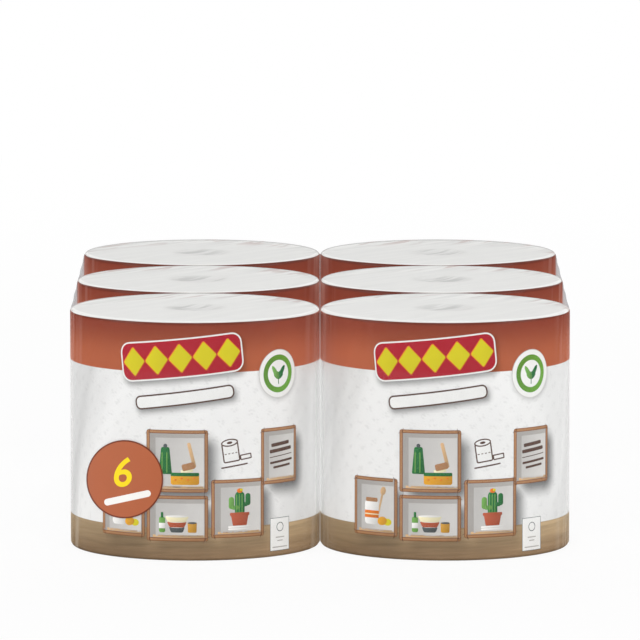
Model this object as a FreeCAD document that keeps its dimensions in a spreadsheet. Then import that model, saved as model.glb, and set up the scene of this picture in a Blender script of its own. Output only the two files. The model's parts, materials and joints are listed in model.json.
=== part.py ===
import FreeCAD, Part
import math
import os
import re

import Sketcher

# A pack of six large paper towel rolls, standing on end in two columns of three.
# Each roll is a cardboard core tube, the wound paper on it and a printed film wrap that closes over
# both ends and dips into the bore. A clear film sleeve holds each column of three together, and a
# round sticker sits on the front of the left sleeve.
# Millimetres, +Z up, the front faces -Y, and the origin is the centre of the base.

# The driving sizes: each has its name, its value and what it measures.
SIZES = (
    ("roll_diameter", 240.0, "one wrapped roll, over its film"),
    ("roll_height", 230.0, "one wrapped roll, over its film"),
    ("core_bore", 57.0, "inside diameter of the core tube"),
    ("core_wall", 1.5, "wall of the core tube"),
    ("core_slack", 0.1, "gap between the core tube and the paper"),
    ("wrap_film", 0.3, "thickness of the printed wrap"),
    ("wrap_slack", 0.2, "gap between the paper and the wrap, round the side and at the ends"),
    ("rim_radius", 3.0, "rounding of the wrap at its top and bottom rims"),
    ("dimple_depth", 4.0, "how far the film dips into the bore at each end"),
    ("dimple_margin", 3.0, "from the wall of the bore to the edge of the dimple"),
    ("roll_gap", 0.2, "gap between two wrapped rolls in a column"),
    ("sleeve_film", 0.3, "thickness of the clear sleeve"),
    ("sleeve_slack", 0.2, "gap between the wraps and the sleeve"),
    ("sleeve_edge", 3.0, "from the ends of the rolls to the edges of the sleeve"),
    ("column_gap", 0.2, "gap between the two sleeves"),
    ("sticker_diameter", 74.8, "the sticker, seen along the cut of its outline"),
    ("sticker_film", 0.2, "thickness of the sticker"),
    ("sticker_slack", 0.1, "gap between the sleeve and the sticker"),
    ("sticker_side", 66.3, "from the axis of the front left roll to the sticker's centre"),
    ("sticker_height", 76.4, "from the base to the sticker's centre"),
    ("sticker_lean", 7.9, "how far the cut of the sticker's outline falls to the back, in degrees"),
)
SIZE_NAMES = [name for name, value, meaning in SIZES]

# Formulas that several pieces share, in the words of the sizes.
BORE_RADIUS = "core_bore / 2"
CORE_RADIUS = f"({BORE_RADIUS} + core_wall)"
WRAP_RADIUS = "roll_diameter / 2"
PAPER_RADIUS = f"({WRAP_RADIUS} - wrap_film - wrap_slack)"
SLEEVE_INSIDE = f"({WRAP_RADIUS} + sleeve_slack)"
SLEEVE_OUTSIDE = f"({SLEEVE_INSIDE} + sleeve_film)"
ROW_PITCH = "(roll_diameter + roll_gap)"
COLUMN_OFFSET = f"({SLEEVE_OUTSIDE} + column_gap / 2)"
END_FILM = "(wrap_film + wrap_slack)"

# The places of the rolls: each row and column by its name and its step from the middle.
ROWS = (("front", -1), ("middle", 0), ("back", 1))
COLUMNS = (("left", -1), ("right", 1))

# Numbers that a sketch gives its own axes and the points of a curve, and turns of a circle.
AXIS_H, AXIS_V = -1, -2
START, END, CENTRE = 1, 2, 3
ORIGIN = (AXIS_H, START)
QUARTER, HALF, FULL = math.pi / 2, math.pi, 2 * math.pi
NORMAL = FreeCAD.Vector(0, 0, 1)

doc = FreeCAD.newDocument("towel_roll_pack")
sheet = doc.addObject("Spreadsheet::Sheet", "sizes")
for line, (name, value, meaning) in enumerate(SIZES, start=1):
    sheet.set(f"A{line}", name)
    sheet.set(f"B{line}", str(value))
    sheet.setAlias(f"B{line}", name)
    sheet.set(f"C{line}", meaning)
doc.recompute()

size = {name: float(getattr(sheet, name)) for name in SIZE_NAMES}
sub_parts = []


def bind(item, field, formula):
    """Tie one field of an object to a formula in the sheet's words."""
    names = "|".join(SIZE_NAMES)
    item.setExpression(field, re.sub(rf"\b({names})\b", r"sizes.\1", formula))


def new_sub_part(kind, label, x="0", y="0", z="0"):
    """One labelled sub-part, placed at a point given as three formulas."""
    item = doc.addObject(kind, label)
    item.Label = label
    for axis, formula in (("x", x), ("y", y), ("z", z)):
        bind(item, f".Placement.Base.{axis}", formula)
    sub_parts.append(item)
    return item


def new_sketch(body, name, plane):
    """A sketch on one of the body's own origin planes."""
    sketch = body.newObject("Sketcher::SketchObject", name)
    origin_planes = {item.Role: item for item in body.Origin.OriginFeatures}
    sketch.AttachmentSupport = [(origin_planes[plane], "")]
    sketch.MapMode = "FlatFace"
    return sketch


def drawn_value(sketch, kind, places):
    """What a dimension measures on the sketch as it is drawn, before its formula drives it."""
    if kind == "Radius":
        return sketch.Geometry[places[0]].Radius
    step = sketch.getPoint(*places[2:]) - sketch.getPoint(*places[:2])
    return step.x if kind == "DistanceX" else step.y


def dimension(sketch, name, formula, kind, *places):
    """A named dimension of the sketch, driven by a formula."""
    as_drawn = drawn_value(sketch, kind, places)
    index = sketch.addConstraint(Sketcher.Constraint(kind, *places, as_drawn))
    sketch.renameConstraint(index, name)
    bind(sketch, f"Constraints.{name}", formula)


def constrain(sketch, kind, *places):
    sketch.addConstraint(Sketcher.Constraint(kind, *places))


def point(x, y):
    return FreeCAD.Vector(x, y, 0)


def add_circle(sketch, name, radius, formula):
    """A circle about the sketch's origin."""
    index = sketch.addGeometry(Part.Circle(point(0, 0), NORMAL, radius))
    constrain(sketch, "Coincident", index, CENTRE, *ORIGIN)
    dimension(sketch, name, formula, "Radius", index)


def add_arc(sketch, x, y, radius, start, end):
    """An arc that runs anticlockwise from one angle to the other."""
    circle = Part.Circle(point(x, y), NORMAL, radius)
    return sketch.addGeometry(Part.ArcOfCircle(circle, start, end))


def add_line(sketch, x1, y1, x2, y2):
    return sketch.addGeometry(Part.LineSegment(point(x1, y1), point(x2, y2)))


def place_of(row_step, column_step):
    """The centre of one roll's base, as formulas."""
    return f"{column_step} * {COLUMN_OFFSET}", f"{row_step} * {ROW_PITCH}"


def make_tube(body, inside, outside):
    """A tube along the whole length of the paper, from two radii given as formulas."""
    section = new_sketch(body, f"{body.Label}_section", "XY_Plane")
    add_circle(section, "inside", size["core_bore"] / 2, inside)
    add_circle(section, "outside", size["roll_diameter"] / 2, outside)
    pad = body.newObject("PartDesign::Pad", f"{body.Label}_length")
    pad.Profile = section
    bind(pad, "Length", f"roll_height - 2 * {END_FILM}")
    section.Visibility = False
    return pad


def make_core_tube(label, x, y):
    """The cardboard tube that the paper is wound on."""
    body = new_sub_part("PartDesign::Body", label, x, y, END_FILM)
    make_tube(body, BORE_RADIUS, CORE_RADIUS)


def make_paper_roll(label, x, y):
    """The wound paper, as one solid, with its outer rims rounded to follow the wrap."""
    body = new_sub_part("PartDesign::Body", label, x, y, END_FILM)
    pad = make_tube(body, f"{CORE_RADIUS} + core_slack", PAPER_RADIUS)
    doc.recompute()
    rims = [
        f"Edge{number}"
        for number, edge in enumerate(pad.Shape.Edges, start=1)
        if isinstance(edge.Curve, Part.Circle) and edge.Curve.Radius > size["core_bore"]
    ]
    rounding = body.newObject("PartDesign::Fillet", f"{label}_rims")
    rounding.Base = (pad, rims)
    bind(rounding, "Radius", f"rim_radius - {END_FILM}")


def draw_wrap_section(sketch, inset):
    """Half the wrap's outline, from its axis to its side, set in from the outside by a formula.

    It runs from the bottom dimple, out along the base, up the side, in along the top and down into
    the top dimple, and closes along the axis."""
    side = size["roll_diameter"] / 2
    top = size["roll_height"]
    rim = size["rim_radius"]
    deep = size["dimple_depth"]
    edge = size["core_bore"] / 2 - size["dimple_margin"]
    curve = (edge**2 + deep**2) / (2 * deep)
    sweep = math.asin(edge / curve)
    lower_dimple = add_arc(sketch, 0, deep - curve, curve, QUARTER - sweep, QUARTER)
    base = add_line(sketch, edge, 0, side - rim, 0)
    lower_rim = add_arc(sketch, side - rim, rim, rim, 3 * QUARTER, FULL)
    wall = add_line(sketch, side, rim, side, top - rim)
    upper_rim = add_arc(sketch, side - rim, top - rim, rim, 0, QUARTER)
    lid = add_line(sketch, side - rim, top, edge, top)
    upper_dimple = add_arc(sketch, 0, top - deep + curve, curve, 3 * QUARTER, 3 * QUARTER + sweep)
    axis = add_line(sketch, 0, top - deep, 0, deep)

    for line, line_point, arc, arc_point in (
        (base, END, lower_rim, START),
        (wall, START, lower_rim, END),
        (wall, END, upper_rim, START),
        (lid, START, upper_rim, END),
    ):
        constrain(sketch, "Tangent", line, line_point, arc, arc_point)
    for first, first_point, second, second_point in (
        (lower_dimple, START, base, START),
        (lid, END, upper_dimple, END),
        (upper_dimple, START, axis, START),
        (axis, END, lower_dimple, END),
    ):
        constrain(sketch, "Coincident", first, first_point, second, second_point)
    for item, item_point in (
        (lower_dimple, CENTRE),
        (upper_dimple, CENTRE),
        (axis, START),
        (axis, END),
    ):
        constrain(sketch, "PointOnObject", item, item_point, AXIS_V)
    constrain(sketch, "Horizontal", base)
    constrain(sketch, "Horizontal", lid)
    constrain(sketch, "Vertical", wall)
    constrain(sketch, "Equal", lower_rim, upper_rim)

    edge_formula = f"{BORE_RADIUS} - dimple_margin"
    dimension(sketch, "side", f"{WRAP_RADIUS} - {inset}", "DistanceX", *ORIGIN, wall, END)
    dimension(sketch, "rim", f"rim_radius - {inset}", "Radius", lower_rim)
    dimension(sketch, "base_height", inset, "DistanceY", *ORIGIN, base, START)
    dimension(sketch, "top_height", f"roll_height - {inset}", "DistanceY", *ORIGIN, lid, END)
    dimension(sketch, "lower_edge", edge_formula, "DistanceX", *ORIGIN, base, START)
    dimension(sketch, "upper_edge", edge_formula, "DistanceX", *ORIGIN, lid, END)
    dimension(sketch, "lower_dip", "dimple_depth", "DistanceY", base, START, axis, END)
    dimension(sketch, "upper_dip", "dimple_depth", "DistanceY", axis, START, lid, END)


def make_film_wrap(label, x, y):
    """The printed film round one roll: a closed skin, turned from its outline and hollowed."""
    body = new_sub_part("PartDesign::Body", label, x, y)
    outline = new_sketch(body, f"{label}_outline", "XZ_Plane")
    draw_wrap_section(outline, "0")
    turned = body.newObject("PartDesign::Revolution", f"{label}_turned")
    turned.Profile = outline
    turned.ReferenceAxis = (outline, ["V_Axis"])
    turned.Angle = 360
    doc.recompute()
    hollow = new_sketch(body, f"{label}_hollow", "XZ_Plane")
    draw_wrap_section(hollow, "wrap_film")
    hollowed = body.newObject("PartDesign::Groove", f"{label}_hollowed")
    hollowed.Profile = hollow
    hollowed.ReferenceAxis = (hollow, ["V_Axis"])
    hollowed.Angle = 360


def draw_loop(sketch, name, formula):
    """The outline of a band drawn tight round a column of rolls: two half circles and two lines."""
    radius = size["roll_diameter"] / 2
    reach = size["roll_diameter"]
    front = add_arc(sketch, 0, -reach, radius, HALF, FULL)
    right = add_line(sketch, radius, -reach, radius, reach)
    back = add_arc(sketch, 0, reach, radius, 0, HALF)
    left = add_line(sketch, -radius, reach, -radius, -reach)
    for line, line_point, arc, arc_point in (
        (right, START, front, END),
        (right, END, back, START),
        (left, START, back, END),
        (left, END, front, START),
    ):
        constrain(sketch, "Tangent", line, line_point, arc, arc_point)
    constrain(sketch, "PointOnObject", front, CENTRE, AXIS_V)
    constrain(sketch, "PointOnObject", back, CENTRE, AXIS_V)
    constrain(sketch, "Vertical", right)
    dimension(sketch, f"{name}_radius", formula, "Radius", front)
    dimension(sketch, f"{name}_front", ROW_PITCH, "DistanceY", front, CENTRE, *ORIGIN)
    dimension(sketch, f"{name}_back", ROW_PITCH, "DistanceY", *ORIGIN, back, CENTRE)


def make_column_sleeve(label, x):
    """The clear film sleeve round one column of three rolls."""
    body = new_sub_part("PartDesign::Body", label, x, "0", "sleeve_edge")
    section = new_sketch(body, f"{label}_section", "XY_Plane")
    draw_loop(section, "inside", SLEEVE_INSIDE)
    draw_loop(section, "outside", SLEEVE_OUTSIDE)
    pad = body.newObject("PartDesign::Pad", f"{label}_height")
    pad.Profile = section
    bind(pad, "Length", "roll_height - 2 * sleeve_edge")


def add_cylinder(name, radius, height):
    """A plain cylinder, from two formulas."""
    cylinder = doc.addObject("Part::Cylinder", name)
    bind(cylinder, "Radius", radius)
    bind(cylinder, "Height", height)
    return cylinder


def make_sticker(label, x, y):
    """The round sticker: a skin on the front of the sleeve, cut out by a punch that leans.

    The outline looks round to someone who looks at the pack from a little above it.
    """
    inside = f"({SLEEVE_OUTSIDE} + sticker_slack)"
    outside = f"({inside} + sticker_film)"
    skin = doc.addObject("Part::Cut", f"{label}_skin")
    skin.Base = add_cylinder(f"{label}_face", outside, "roll_height")
    skin.Tool = add_cylinder(f"{label}_back", inside, "roll_height")
    punch = add_cylinder(f"{label}_punch", "sticker_diameter / 2", f"2 * {outside}")
    punch.Placement.Rotation = FreeCAD.Rotation(FreeCAD.Vector(1, 0, 0), 90 - size["sticker_lean"])
    depth = f"sqrt({outside} ^ 2 - sticker_side ^ 2)"
    fall = f"{depth} * tan(sticker_lean * 1 deg)"
    bind(punch, ".Placement.Rotation.Angle", "(90 - sticker_lean) * 1 deg")
    bind(punch, ".Placement.Base.x", "-sticker_side")
    bind(punch, ".Placement.Base.z", f"sticker_height - {fall}")
    sticker = new_sub_part("Part::Common", label, x, y)
    sticker.Base = skin
    sticker.Tool = punch


def check_and_write():
    """Stop on any failed object, then write one STEP file for each sub-part."""
    for item in doc.Objects:
        if {"Invalid", "Error"} & set(item.State):
            raise RuntimeError(f"{item.Label} failed: {item.State}")
    for item in sub_parts:
        shape = item.Shape
        if shape.isNull() or not shape.isValid() or not shape.Solids:
            raise RuntimeError(f"{item.Label} has no valid solid")
    os.makedirs("parts", exist_ok=True)
    for item in sub_parts:
        item.Shape.exportStep(f"parts/{item.Label}.step")
        print(f"{item.Label}: {len(item.Shape.Solids)} solid, {item.Shape.Volume:.0f} mm3")


for column, column_step in COLUMNS:
    for row, row_step in ROWS:
        place = place_of(row_step, column_step)
        make_core_tube(f"core_tube_{row}_{column}", *place)
        make_paper_roll(f"paper_roll_{row}_{column}", *place)
        make_film_wrap(f"film_wrap_{row}_{column}", *place)
    make_column_sleeve(f"column_sleeve_{column}", f"{column_step} * {COLUMN_OFFSET}")
make_sticker("round_sticker", *place_of(-1, -1))
doc.recompute()
check_and_write()
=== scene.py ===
"""Pack of six paper towel rolls: printed film wraps, clear sleeves, round sticker and studio."""

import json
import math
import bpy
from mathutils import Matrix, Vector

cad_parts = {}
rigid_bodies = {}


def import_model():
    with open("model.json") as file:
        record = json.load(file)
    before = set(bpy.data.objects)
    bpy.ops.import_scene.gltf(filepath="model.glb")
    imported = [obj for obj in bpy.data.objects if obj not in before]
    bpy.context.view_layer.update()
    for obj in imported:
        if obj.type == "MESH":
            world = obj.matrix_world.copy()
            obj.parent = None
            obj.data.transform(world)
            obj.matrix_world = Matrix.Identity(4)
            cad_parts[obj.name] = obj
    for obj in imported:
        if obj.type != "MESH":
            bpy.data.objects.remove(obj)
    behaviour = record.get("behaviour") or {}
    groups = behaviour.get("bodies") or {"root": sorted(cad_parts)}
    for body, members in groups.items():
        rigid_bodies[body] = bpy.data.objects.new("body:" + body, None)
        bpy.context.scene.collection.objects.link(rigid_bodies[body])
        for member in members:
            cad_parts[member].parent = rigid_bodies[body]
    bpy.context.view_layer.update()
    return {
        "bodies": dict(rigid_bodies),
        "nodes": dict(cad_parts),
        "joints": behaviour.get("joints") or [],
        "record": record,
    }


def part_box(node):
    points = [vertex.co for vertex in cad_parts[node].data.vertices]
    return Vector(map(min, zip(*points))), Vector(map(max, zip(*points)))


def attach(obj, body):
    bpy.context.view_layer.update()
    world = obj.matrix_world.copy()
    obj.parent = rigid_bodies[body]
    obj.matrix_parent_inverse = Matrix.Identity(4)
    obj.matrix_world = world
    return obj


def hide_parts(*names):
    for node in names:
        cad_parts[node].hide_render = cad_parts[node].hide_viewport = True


bl_info = {
    "name": "Paper Towel Pack",
    "version": (1, 0, 0),
    "blender": (4, 5, 0),
    "location": "3D View > Sidebar > Towel Pack",
    "description": "Film, print, sticker and studio for a pack of six wrapped paper towel rolls",
    "category": "Object",
}

import bmesh
import bpy
import numpy as np
from bpy.props import FloatProperty, FloatVectorProperty, IntProperty, PointerProperty
from mathutils import Matrix, Vector

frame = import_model()

MM = 0.001
ROWS = ("front", "middle", "back")
COLUMNS = ("left", "right")


def axis_of(row, column):
    """Where the axis of one roll stands on the floor."""
    low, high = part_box(f"core_tube_{row}_{column}")
    middle = (low + high) / 2
    return Vector((round(middle.x, 4), round(middle.y, 4), 0.0))


WRAP_LOW, WRAP_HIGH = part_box("film_wrap_front_left")
SLEEVE_LOW, SLEEVE_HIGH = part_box("column_sleeve_left")
STICKER_LOW, STICKER_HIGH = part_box("round_sticker")
ROLL_RADIUS = round((WRAP_HIGH.x - WRAP_LOW.x) / 2, 3)
ROLL_HEIGHT = round(WRAP_HIGH.z, 4)
SLEEVE_RADIUS = round((SLEEVE_HIGH.x - SLEEVE_LOW.x) / 2, 4)
STICKER_RADIUS = SLEEVE_RADIUS + 0.3 * MM
ROLLS = [(row, column, axis_of(row, column)) for row in ROWS for column in COLUMNS]

COLUMN_STEP = 1.5  # degrees between the columns of faces round a roll
LAP_START, LAP_END = 88.5, 94.5  # degrees from the front, where a wrap overlaps itself
PATTERN_SHIFT = 1.7  # metres between the parts of the pattern that two rolls show
PRINT_LIFT = 0.035 * MM  # from one layer of ink to the next
WRAP_SINK = 0.06 * MM  # how far the film lies under a roll's full radius
FLAT_END = 117.5  # radius of a roll's flat end in mm
SIDE_START = ROLL_RADIUS - 3.2 * MM  # the film is on a roll's side beyond this radius


def colour_property(name, colour, description):
    return FloatVectorProperty(
        name=name, description=description, subtype="COLOR", size=3, min=0, max=1, default=colour
    )


def number_property(name, number, description, **more):
    return FloatProperty(name=name, description=description, default=number, **more)


def length_property(name, length, description):
    return number_property(name, length, description, unit="LENGTH", subtype="DISTANCE")


def angle_property(name, angle, description):
    return number_property(name, angle, description, subtype="ANGLE")


def share_property(name, share, description):
    return number_property(name, share, description, min=0, max=1, subtype="FACTOR")


def srgb(red, green, blue):
    """A colour given as 0 to 255, as the linear values that Blender works in."""
    parts = (red / 255, green / 255, blue / 255)
    return tuple(p / 12.92 if p <= 0.04045 else ((p + 0.055) / 1.055) ** 2.4 for p in parts)


# ---- shader maths


class Value:
    """A socket of a node tree; + - * / ** on it add Math nodes."""

    def __init__(self, finish, socket):
        self.finish = finish
        self.socket = socket

    def out(self, name):
        """Another output of the same node."""
        return Value(self.finish, self.socket.node.outputs[name])

    def math(self, operation, first, second=None):
        values = {0: first} if second is None else {0: first, 1: second}
        return self.finish.node("ShaderNodeMath", {"operation": operation}, values)


def arithmetic(operation, reflected):
    """A method of Value that adds one Math node; a reflected one puts the value second."""

    def method(value, other):
        pair = (other, value) if reflected else (value, other)
        return value.math(operation, *pair)

    return method


ARITHMETIC = {
    "add": "ADD", "sub": "SUBTRACT", "mul": "MULTIPLY", "truediv": "DIVIDE", "pow": "POWER"
}
for sign in ARITHMETIC:
    setattr(Value, f"__{sign}__", arithmetic(ARITHMETIC[sign], False))
    setattr(Value, f"__r{sign}__", arithmetic(ARITHMETIC[sign], True))


class Finish:
    """The node tree of a material or a world."""

    def __init__(self, name, owner=None):
        self.owner = owner or bpy.data.materials.new(name)
        self.owner.use_nodes = True
        self.tree = self.owner.node_tree
        self.tree.nodes.clear()

    def node(self, kind, settings=None, inputs=None):
        """Add a node and give back its first output."""
        made = self.tree.nodes.new(kind)
        for key, setting in (settings or {}).items():
            setattr(made, key, setting)
        for key, value in (inputs or {}).items():
            socket = made.inputs[key]
            if isinstance(value, Value):
                self.tree.links.new(value.socket, socket)
            elif socket.type == "RGBA":
                socket.default_value = (*value, 1.0)
            else:
                socket.default_value = value
        return Value(self, made.outputs[0]) if made.outputs else None

    def film(self):
        """The piece's own unrolled coordinates, in metres."""
        return self.node("ShaderNodeUVMap", {"uv_map": "film"})

    def place(self):
        """Coordinates in the room, in metres."""
        return self.node("ShaderNodeTexCoord").out("Object")

    def height(self):
        """Height above the floor, in metres."""
        return self.node("ShaderNodeSeparateXYZ", inputs={0: self.place()}).out("Z")

    def value(self, name):
        """One of the values kept on a piece's points, such as print_shadow or flank."""
        return self.node("ShaderNodeAttribute", {"attribute_name": name}).out("Fac")

    def facing(self):
        """0 where a surface is seen straight on, up to 1 where it is seen along itself."""
        return self.node("ShaderNodeLayerWeight", inputs={"Blend": 0.5}).out("Facing")

    def placed(self, vector, size, turn):
        """Coordinates turned in their own plane and measured in this size."""
        inputs = {"Rotation": (0, 0, math.radians(turn)), "Scale": (*size, 1)[:3]}
        return self.node(
            "ShaderNodeMapping", {"vector_type": "TEXTURE"}, {"Vector": vector} | inputs
        )

    def noise(self, vector, size, turn=0.0, detail=2.0, distortion=0.0):
        """Noise with spots of about this size: flat for two lengths, solid for three."""
        inputs = {"Vector": self.placed(vector, size, turn), "Scale": 1.0}
        inputs |= {"Detail": detail, "Distortion": distortion}
        return self.node("ShaderNodeTexNoise", {"noise_dimensions": f"{len(size)}D"}, inputs)

    def cells(self, vector, size, turn, spread=1.0):
        """How far the nearest middle of many flat cells is away, in cells."""
        inputs = {"Vector": self.placed(vector, size, turn), "Scale": 1.0, "Randomness": spread}
        settings = {"voronoi_dimensions": "2D", "feature": "F1"}
        return self.node("ShaderNodeTexVoronoi", settings, inputs)

    def step(self, value, low, high, start=0.0, end=1.0):
        """A smooth step from start to end as the value goes from low to high."""
        inputs = {"Value": value, "From Min": low, "From Max": high}
        inputs |= {"To Min": start, "To Max": end}
        return self.node("ShaderNodeMapRange", {"interpolation_type": "SMOOTHSTEP"}, inputs)

    def fall(self, value, low, high):
        """A smooth step from 1 down to 0."""
        return self.step(value, low, high, 1.0, 0.0)

    def blend(self, factor, first, second):
        """Two colours mixed by a factor."""
        inputs = {0: factor, 6: first, 7: second}
        return self.node("ShaderNodeMix", {"data_type": "RGBA"}, inputs).out(2)

    def shade(self, colour, amount):
        """A colour made darker or lighter by a value."""
        return self.node("ShaderNodeVectorMath", {"operation": "SCALE"}, {0: colour, 3: amount})

    def bump(self, height):
        """A normal from a height in millimetres."""
        return self.node("ShaderNodeBump", inputs={"Height": height, "Distance": MM})

    def principled(self, colour, roughness, normal, specular, more=None):
        inputs = {"Base Color": colour, "Roughness": roughness, "Normal": normal}
        inputs |= {"Specular IOR Level": specular} | (more or {})
        return self.node("ShaderNodeBsdfPrincipled", inputs=inputs)

    def mixed(self, share, first, second):
        return self.node("ShaderNodeMixShader", inputs={0: share, 1: first, 2: second})

    def end(self, shader, kind="Material"):
        """End the tree in a shader and give back the material or world."""
        self.node(f"ShaderNodeOutput{kind}", inputs={"Surface": shader})
        return self.owner

    def surface(self, *looks):
        """End the tree in a Principled shader with these looks."""
        return self.end(self.principled(*looks))


# ---- modelling helpers


def start(name, primitive, **settings):
    """Add a primitive with nothing else selected, name it and open it in edit mode."""
    bpy.ops.object.select_all(action="DESELECT")
    primitive(**settings)
    piece = bpy.context.active_object
    piece.name = piece.data.name = name
    bpy.ops.object.transform_apply(location=True, rotation=True, scale=True)
    bpy.ops.object.mode_set(mode="EDIT")
    return piece


def select_only(piece):
    bpy.ops.object.select_all(action="DESELECT")
    piece.select_set(True)
    bpy.context.view_layer.objects.active = piece


def pick(kind, test):
    """Select the vertices, edges or faces of the open mesh that pass the test."""
    bpy.ops.mesh.select_mode(type=kind)
    bpy.ops.mesh.select_all(action="DESELECT")
    mesh = bmesh.from_edit_mesh(bpy.context.edit_object.data)
    parts = {"VERT": mesh.verts, "EDGE": mesh.edges, "FACE": mesh.faces}[kind]
    for part in parts:
        if test(part):
            part.select_set(True)
    mesh.select_flush_mode()
    bmesh.update_edit_mesh(bpy.context.edit_object.data)


def edge_height(edge):
    """How much higher one end of an edge is than the other."""
    return abs(edge.verts[0].co.z - edge.verts[1].co.z)


def cut(place, direction):
    """Cut the whole open mesh with a plane."""
    bpy.ops.mesh.select_all(action="SELECT")
    bpy.ops.mesh.bisect(plane_co=place, plane_no=direction)


def close_edit():
    bpy.ops.object.mode_set(mode="OBJECT")


def read(items, field, width=1, kind=float):
    """One field of all vertices, corners or faces of a mesh; rows when it has a width."""
    values = np.empty(len(items) * width, kind)
    items.foreach_get(field, values)
    return values.reshape(-1, width) if width > 1 else values


def points_of(mesh):
    return read(mesh.vertices, "co", 3)


def set_points(mesh, points):
    mesh.vertices.foreach_set("co", points.ravel())
    mesh.update()


def keep(mesh, name, values):
    """Keep a value on each point, for the finishes to read."""
    layer = mesh.attributes.new(name, "FLOAT", "POINT")
    layer.data.foreach_set("value", values)


def thicken(piece, thickness, offset):
    """Give a sheet its thickness, to one side of it."""
    wall = piece.modifiers.new("thickness", "SOLIDIFY")
    wall.thickness = thickness
    wall.offset = offset
    select_only(piece)
    bpy.ops.object.modifier_apply(modifier=wall.name)


def join(piece, *others):
    select_only(piece)
    for other in others:
        other.select_set(True)
    bpy.ops.object.join()


def own_copy(piece, name):
    """A copy of a piece with its own mesh."""
    copy = piece.copy()
    copy.data = piece.data.copy()
    copy.name = copy.data.name = name
    bpy.context.collection.objects.link(copy)
    return copy


def shade_smooth(piece, angle=32):
    select_only(piece)
    bpy.ops.object.shade_smooth_by_angle(angle=math.radians(angle))


def ride(piece, slot, *nodes):
    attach(piece, "root")
    if nodes:
        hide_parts(*nodes)


# ---- the film's shape


def unrolled_angle(points):
    """Angle round a roll from its front, to the right, cut open at the lap of its wrap."""
    angle = np.arctan2(points[..., 0], -points[..., 1])
    return np.where(angle > math.radians(LAP_START), angle - 2 * math.pi, angle)


def nearest_turn(angle, middle=0.0):
    """An angle brought to within half a turn of another."""
    return angle - 2 * math.pi * np.round((angle - middle) / (2 * math.pi))


# Creases of the two front wraps: angle, height, angle, height, width, depth in degrees and mm.
FRONT_CREASES = (
    (78, 158, 66.5, 98, 3.6, 0.26),
    (83, 80, 68.5, 46, 3.6, 0.28),
    (86, 172, 72, 120, 4.0, 0.20),
    (-83, 176, -78, 60, 7.0, 0.24),
    (-64, 176, -76, 96, 6.0, 0.16),
)


def film_creases(roll):
    """Creases of one wrap, with more of them round its sides."""
    creases = list(FRONT_CREASES) if roll < len(COLUMNS) else []
    chance = np.random.default_rng(40 + roll)
    for middle in (100, 112, 124, -54, -88, -100, -112, 97, 106, -94):
        lean = chance.uniform(-14, 14)
        top = chance.uniform(110, 176)
        length = chance.uniform(30, 80)
        place = middle + chance.uniform(-5, 5)
        width = chance.uniform(3.4, 6.0)
        creases.append((place + lean / 2, top, place - lean / 2, top - length, width, 0.24))
    return creases


def side_relief(angle, height, roll):
    """How far the film of one roll lies under its full radius, in metres."""
    turn = roll * 1.3
    soft = (
        0.055 * (1 + np.sin(5 * angle + height / 0.026 + turn))
        + 0.045 * (1 + np.sin(9 * angle - height / 0.033 + 2 * turn))
        + 0.025 * (1 + np.sin(14 * angle + height / 0.048 + 3 * turn))
    )
    hollow = np.zeros_like(soft)
    across, up = angle * ROLL_RADIUS / MM, height / MM
    for first, low, second, high, width, depth in film_creases(roll):
        begin = np.array([math.radians(first) * ROLL_RADIUS / MM, low])
        end = np.array([math.radians(second) * ROLL_RADIUS / MM, high])
        along = end - begin
        length = float(np.hypot(*along))
        share = ((across - begin[0]) * along[0] + (up - begin[1]) * along[1]) / length**2
        aside = ((across - begin[0]) * along[1] - (up - begin[1]) * along[0]) / length
        fade = np.exp(-((2 * share - 1) ** 6))
        hollow = np.maximum(hollow, depth * fade * np.exp(-((aside / width) ** 2)))
    edge = np.clip(np.minimum(up - 3, 227 - up) / 12, 0, 1)
    touch = np.clip((np.abs(np.abs(np.degrees(angle)) - 90) - 3) / 8, 0, 1)
    return (soft + hollow) * edge * touch * MM + WRAP_SINK * (0.2 + 0.8 * touch)


def end_relief(x, y, roll):
    """How far the film over one end of a roll lies under the end's plane, in metres."""
    radius = np.hypot(x, y) / MM
    angle = np.arctan2(y, x)
    lean = math.radians(52 + 5 * roll)
    along = (x * math.cos(lean) + y * math.sin(lean)) / MM
    aside = (y * math.cos(lean) - x * math.sin(lean)) / MM
    folds = 0.07 * (1 + np.sin(aside / 4.3 + 0.9 * np.sin(along / 31 + roll) + 2 * roll))
    folds += 0.05 * (1 + np.sin(aside / 9.5 + 1.4 * np.sin(along / 47) + roll))
    pleats = 0.05 * (1 + np.sin(84 * angle + roll)) * np.clip((radius - 106) / 10, 0, 1)
    inward = FLAT_END - 0.1 - radius
    edge = np.clip(inward / 6, 0, 1)
    return (folds * edge + pleats * np.clip(inward / 2, 0, 1)) * MM


def unroll(piece, axis, roll):
    """Give film its own unrolled coordinates, each roll on its own part of the pattern."""
    mesh = piece.data
    sizes = read(mesh.polygons, "loop_total", kind=np.int32)
    of_face = np.repeat(np.arange(len(sizes)), sizes)
    corner = points_of(mesh)[read(mesh.loops, "vertex_index", kind=np.int32)] - np.array(axis)
    middle = unrolled_angle(read(mesh.polygons, "center", 3) - np.array(axis))[of_face]
    angle = nearest_turn(np.arctan2(corner[:, 0], -corner[:, 1]), middle)
    flat = np.abs(read(mesh.polygons, "normal", 3)[of_face, 2]) > 0.8
    across = np.where(flat, corner[:, 0], angle * ROLL_RADIUS) + PATTERN_SHIFT * roll
    up = np.where(flat, corner[:, 1], corner[:, 2])
    layer = mesh.uv_layers.get("film") or mesh.uv_layers.new(name="film")
    layer.data.foreach_set("uv", np.stack([across, up], axis=1).ravel())


# ---- settings


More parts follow.
